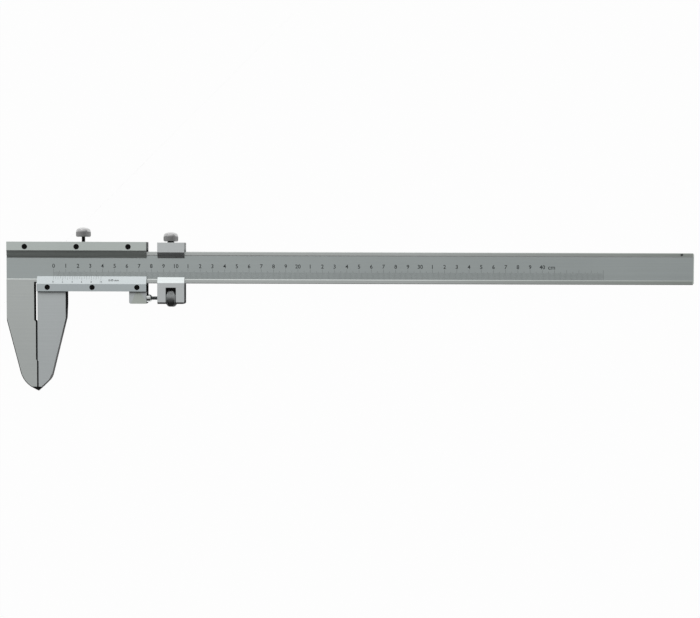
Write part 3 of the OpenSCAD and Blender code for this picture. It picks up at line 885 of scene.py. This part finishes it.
def knurl_tree():
    """Geometry nodes for ridges along Z that stand in a ring round the origin."""
    tree, add, link, given = piece_tree("Knurl", ("Count",),
                                        ("Radius", "Height", "Ridge"), "Finish")
    top = add("ShaderNodeCombineXYZ")
    link(given.outputs["Height"], top.inputs["Z"])
    stroke = add("GeometryNodeCurvePrimitiveLine")
    link(top.outputs["Vector"], stroke.inputs["End"])
    points = add("GeometryNodeResampleCurve")
    points.inputs["Count"].default_value = 9
    link(stroke.outputs["Curve"], points.inputs["Curve"])
    along = add("GeometryNodeSplineParameter")
    taper = add("ShaderNodeFloatCurve")
    shape = taper.mapping.curves[0]
    shape.points[0].location = (0, RIDGE_END)
    shape.points[1].location = (1, RIDGE_END)
    shape.points.new(RIDGE_RUNOUT, 1)
    shape.points.new(1 - RIDGE_RUNOUT, 1)
    for point in shape.points:
        point.handle_type = "VECTOR"
    taper.mapping.update()
    link(along.outputs["Factor"], taper.inputs["Value"])
    profile = add("GeometryNodeCurvePrimitiveCircle")
    profile.inputs["Resolution"].default_value = 10
    link(given.outputs["Ridge"], profile.inputs["Radius"])
    ridge = add("GeometryNodeCurveToMesh")
    ridge.inputs["Fill Caps"].default_value = True
    link(points.outputs["Curve"], ridge.inputs["Curve"])
    link(profile.outputs["Curve"], ridge.inputs["Profile Curve"])
    link(taper.outputs["Value"], ridge.inputs["Scale"])

    ring = add("GeometryNodeMeshCircle")
    link(given.outputs["Count"], ring.inputs["Vertices"])
    link(given.outputs["Radius"], ring.inputs["Radius"])
    number = add("GeometryNodeInputIndex")
    share = add("ShaderNodeMath")
    share.operation = "DIVIDE"
    link(number.outputs["Index"], share.inputs[0])
    link(given.outputs["Count"], share.inputs[1])
    angle = add("ShaderNodeMath")
    angle.operation = "MULTIPLY"
    angle.inputs[1].default_value = 2 * math.pi
    link(share.outputs["Value"], angle.inputs[0])
    spin = add("ShaderNodeCombineXYZ")
    link(angle.outputs["Value"], spin.inputs["Z"])
    copies = add("GeometryNodeInstanceOnPoints")
    link(ring.outputs["Mesh"], copies.inputs["Points"])
    link(ridge.outputs["Mesh"], copies.inputs["Instance"])
    link(spin.outputs["Vector"], copies.inputs["Rotation"])
    return end_tree(tree, copies.outputs["Instances"], given.outputs["Finish"])


knurl = knurl_tree()
NUT_BEVEL = 1.5 * MM
NUT_BORE = 1.54 * MM
NUT_RIDGES = 60
NUT_RIDGE = 0.8 * MM
RIDGE_OVERRUN = 0.1 * MM
# Painted shade: the nut's steel goes dark towards its lower part, as if in the block's shadow.
NUT_SHADE = (-29 * MM, -24 * MM)
nut_dull = toned_along(ground_steel("nut_dull", (0.31, 0.325, 0.325), 0.3, grain=(150, 150, 150)),
                       "Y", *NUT_SHADE, (0.07, 0.07, 0.07), (1.0, 1.0, 1.0))
low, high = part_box("feed_nut")
nut_radius = (high.y - low.y) / 2
nut_width = high.x - low.x
nut_rim = nut_radius - KNURL_DEPTH
nut_profile = [
    (NUT_BORE, 0), (nut_radius - NUT_BEVEL, 0), (nut_rim, NUT_BEVEL - KNURL_DEPTH),
    (nut_rim, nut_width - NUT_BEVEL + KNURL_DEPTH),
    (nut_radius - NUT_BEVEL, nut_width), (NUT_BORE, nut_width), (NUT_BORE, 0)]
nut_blank = as_piece("nut_blank", turned_mesh("nut_blank", nut_profile, nut_dull, KNURLED_SIDES))
nut_ridges = made_by(knurl, "nut_ridges", count=NUT_RIDGES, radius=nut_radius - NUT_RIDGE,
                     height=nut_width - 2 * NUT_BEVEL + 2 * RIDGE_OVERRUN, ridge=NUT_RIDGE,
                     finish=nut_dull)
placed(nut_ridges, Matrix.Translation((0, 0, NUT_BEVEL - RIDGE_OVERRUN)))
nut = joined("feed_nut_knurled", [nut_blank, nut_ridges])
centre = (low + high) / 2
placed(nut, Matrix.Translation((low.x, centre.y, centre.z)) @ Matrix.Rotation(math.pi / 2, 4, "Y"))
shade_by_angle(nut.data, 25)
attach(nut, "feed_nut")
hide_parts("feed_nut")

# Clamp screws
# Each has a blackened threaded stem and a turned knob, knurled round its rim
# and polished on its dome. The frame's screw stands slightly backed out.

frame_stem = threaded_rod("frame_clamp_stem", "frame_clamp_stem_threaded", (0, 1, 0), blackened)
finish_rod(frame_stem, "frame_clamp_stem")

SHOULDER_GAP = 0.1 * MM
low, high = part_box("block_clamp_stem")
shoulder_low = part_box("feed_block")[1].y + SHOULDER_GAP
shoulder_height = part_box("block_clamp_knob")[0].y - SHOULDER_GAP - shoulder_low
shoulder_radius = (high.x - low.x) / 2
shoulder_profile = [(0, 0), (shoulder_radius, 0), (shoulder_radius, shoulder_height),
                    (0, shoulder_height)]
shoulder = as_piece("shoulder", turned_mesh("shoulder", shoulder_profile, blackened))
placed(shoulder, Matrix.Translation(((low.x + high.x) / 2, shoulder_low, (low.z + high.z) / 2))
       @ Matrix.Rotation(-math.pi / 2, 4, "X"))
rod = threaded_rod("block_clamp_stem", "block_clamp_rod", (0, 1, 0), blackened)
finish_rod(joined("block_clamp_stem_threaded", [rod, shoulder]), "block_clamp_stem")

knob_polished = ground_steel("knob_polished", (0.72, 0.72, 0.72), 0.22,
                             grain=(250, 250, 250), contrast=0.03)
# Painted shade: the dome's rounding takes a darker copy of the polished steel, for the dome's
# darker sides.
knob_round = ground_steel("knob_round", (0.55, 0.55, 0.55), 0.15, grain=(250, 250, 250))
knob_rim = ground_steel("knob_rim", (0.31, 0.31, 0.31), 0.3, grain=(250, 250, 250))
KNOB_RIM = 4.2 * MM
KNOB_ROUND = 2.7 * MM
KNOB_BEVEL = 0.6 * MM
KNOB_RIDGES = 44
KNOB_RIDGE = 0.42 * MM
RIDGE_FOOT = 0.4 * MM
STEM_BORE = 1.54 * MM
STEM_SEAT = 4.04 * MM
ARC_STEPS = 12
for node in ("frame_clamp_knob", "block_clamp_knob"):
    low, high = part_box(node)
    radius = (high.x - low.x) / 2
    rim_radius = radius - KNURL_DEPTH
    dome = high.y - low.y - KNOB_RIM
    round_centre = radius - KNOB_ROUND
    cap_radius = ((round_centre ** 2 + dome ** 2 - KNOB_ROUND ** 2)
                  / (2 * (dome - KNOB_ROUND)))
    blend = math.asin(round_centre / (cap_radius - KNOB_ROUND))
    profile = [(0, STEM_SEAT), (STEM_BORE, STEM_SEAT), (STEM_BORE, 0),
               (radius - KNOB_BEVEL, 0), (rim_radius, KNOB_BEVEL - KNURL_DEPTH),
               (rim_radius, KNOB_RIM)]
    for i in range(1, ARC_STEPS + 1):
        turn = (math.pi / 2 - blend) * i / ARC_STEPS
        round_radius = KNOB_ROUND - KNURL_DEPTH * (1 - i / ARC_STEPS)
        profile.append((round_centre + round_radius * math.cos(turn),
                        KNOB_RIM + KNOB_ROUND * math.sin(turn)))
    for i in range(1, ARC_STEPS + 1):
        turn = blend * (1 - i / ARC_STEPS)
        profile.append((cap_radius * math.sin(turn),
                        KNOB_RIM + dome - cap_radius * (1 - math.cos(turn))))
    blank = as_piece("knob_blank",
                     turned_mesh("knob_blank", profile, knob_polished, KNURLED_SIDES))
    blank.data.materials.append(knob_rim)
    blank.data.materials.append(knob_round)
    for face in blank.data.polygons:
        if face.center.z < KNOB_RIM:
            face.material_index = 1
        elif face.normal.z < 0.85:
            face.material_index = 2
    ridges = made_by(knurl, "knob_ridges", count=KNOB_RIDGES, radius=radius - KNOB_RIDGE,
                     height=KNOB_RIM - RIDGE_FOOT, ridge=KNOB_RIDGE, finish=knob_rim)
    placed(ridges, Matrix.Translation((0, 0, RIDGE_FOOT)))
    knob = joined(f"{node}_knurled", [blank, ridges])
    centre = (low + high) / 2
    placed(knob, Matrix.Translation((centre.x, low.y, centre.z))
           @ Matrix.Rotation(-math.pi / 2, 4, "X"))
    shade_by_angle(knob.data, 25)
    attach(knob, frame["nodes"][node]["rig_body"])
    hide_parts(node)

# Floor, light and camera
# The caliper lies on a plain white table under a soft light that comes from
# beyond the clamp screws. The camera looks down on the scale side.

FLOOR_SIZE = 60
FLOOR_Z = -0.1 * MM
half = FLOOR_SIZE / 2
floor_mesh = bpy.data.meshes.new("floor")
floor_mesh.from_pydata([(-half, -half, FLOOR_Z), (half, -half, FLOOR_Z),
                        (half, half, FLOOR_Z), (-half, half, FLOOR_Z)], [], [(0, 1, 2, 3)])
floor = as_piece("floor", floor_mesh)

# The table shows white to the camera and in reflections, apart from a little of its
# own shading, and has a painted shadow where the caliper all but touches it.
table, tree, surface = own_nodes("table_white")
add, link = tree.nodes.new, tree.links.new
surface.inputs["Base Color"].default_value = (0.4, 0.4, 0.4, 1)
surface.inputs["Roughness"].default_value = 0.9
ray = add("ShaderNodeLightPath")
seen = ray.outputs["Is Camera Ray"]
for kind in ("Is Glossy Ray", "Is Transmission Ray"):
    either = add("ShaderNodeMath")
    either.operation = "MAXIMUM"
    link(seen, either.inputs[0])
    link(ray.outputs[kind], either.inputs[1])
    seen = either.outputs["Value"]
share = add("ShaderNodeMath")
share.operation = "MULTIPLY"
share.inputs[1].default_value = 0.98
link(seen, share.inputs[0])
open_sky = add("ShaderNodeAmbientOcclusion")
open_sky.samples = 48
open_sky.inputs["Distance"].default_value = 6 * MM
white = add("ShaderNodeEmission")
link(graded(tree, open_sky.outputs["AO"], 0.05, 0.09), white.inputs["Strength"])
blend_white = add("ShaderNodeMixShader")
link(share.outputs["Value"], blend_white.inputs["Fac"])
link(surface.outputs["BSDF"], blend_white.inputs[1])
link(white.outputs["Emission"], blend_white.inputs[2])
link(blend_white.outputs["Shader"], tree.nodes["Material Output"].inputs["Surface"])
floor_mesh.materials.append(table)

# The studio is bright beyond the clamp screws, dark on the jaws' side and a little
# brighter at the left. Near the horizon it is a plain grey, dimmer on the jaws' side.
sky = bpy.data.worlds.new("studio")
scene.world = sky
sky.use_nodes = True
tree = sky.node_tree
add, link = tree.nodes.new, tree.links.new
direction = add("ShaderNodeTexCoord").outputs["Generated"]
depthwise = along_axis(tree, direction, "Y")
ramp = add("ShaderNodeValToRGB")
stops = ramp.color_ramp.elements
stops[0].position = 0.1
stops[0].color = (0.014, 0.014, 0.014, 1)
stops[1].position = 0.88
stops[1].color = (0.82, 0.82, 0.82, 1)
for position, grey in ((0.2, 0.032), (0.3, 0.15), (0.4, 0.46),
                       (0.5, 0.57), (0.68, 0.61), (0.8, 0.68)):
    stops.new(position).color = (grey, grey, grey, 1)
link(graded(tree, depthwise, -1, 1), ramp.inputs["Fac"])
sideways = graded(tree, along_axis(tree, direction, "X"), -1, 1, 1.36, 0.64)
upper = toned(tree, ramp.outputs["Color"], sideways)
height = graded(tree, along_axis(tree, direction, "Z"), 0.1, 0.45, smooth=True)
low_down = graded(tree, depthwise, -1, -0.15, 0.3, 0.75)
horizon = add("ShaderNodeMix")
horizon.data_type = "RGBA"
link(height, horizon.inputs["Factor"])
link(low_down, horizon.inputs[6])
link(upper, horizon.inputs[7])
backdrop = tree.nodes["Background"]
link(horizon.outputs[2], backdrop.inputs["Color"])
backdrop.inputs["Strength"].default_value = 1


def soft_lamp(name, width, depth, energy, place, target):
    """A rectangular lamp that faces a target."""
    lamp = bpy.data.lights.new(name, "AREA")
    lamp.shape = "RECTANGLE"
    lamp.size = width
    lamp.size_y = depth
    lamp.energy = energy
    holder = as_piece(name, lamp)
    holder.location = place
    aim = Vector(target) - holder.location
    holder.rotation_euler = aim.to_track_quat("-Z", "Y").to_euler()


# A softbox lights the whole caliper, and a small lamp puts the glint on the domes.
soft_lamp("softbox", 1.4, 0.5, 0.7, (0.25, 1.0, 0.9), (0.25, 0, 0))
soft_lamp("knob_light", 0.16, 0.1, 0.25, (-0.35, 1.15, 0.28), (0.07, 0.03, 0))

LENS = 62.794
SENSOR = 36
DISTANCE = 1.0
TILT = math.radians(2)
ROLL = math.radians(0.18)
view_centre = Vector((0.2560, -0.03345, 0.00955))
towards_camera = Vector((0, math.sin(TILT), math.cos(TILT)))
picture_right = Vector((math.cos(ROLL), math.sin(ROLL) * math.cos(TILT),
                        -math.sin(ROLL) * math.sin(TILT)))
picture_up = towards_camera.cross(picture_right)
camera_data = bpy.data.cameras.new("camera")
camera_data.lens = LENS
camera_data.sensor_width = SENSOR
camera_data.sensor_fit = "HORIZONTAL"
camera = bpy.data.objects.new("camera", camera_data)
camera.matrix_world = (Matrix.Translation(view_centre + towards_camera * DISTANCE)
                       @ Matrix((picture_right, picture_up, towards_camera)).transposed().to_4x4())
scene.collection.objects.link(camera)
scene.camera = camera
scene.view_settings.view_transform = "Standard"
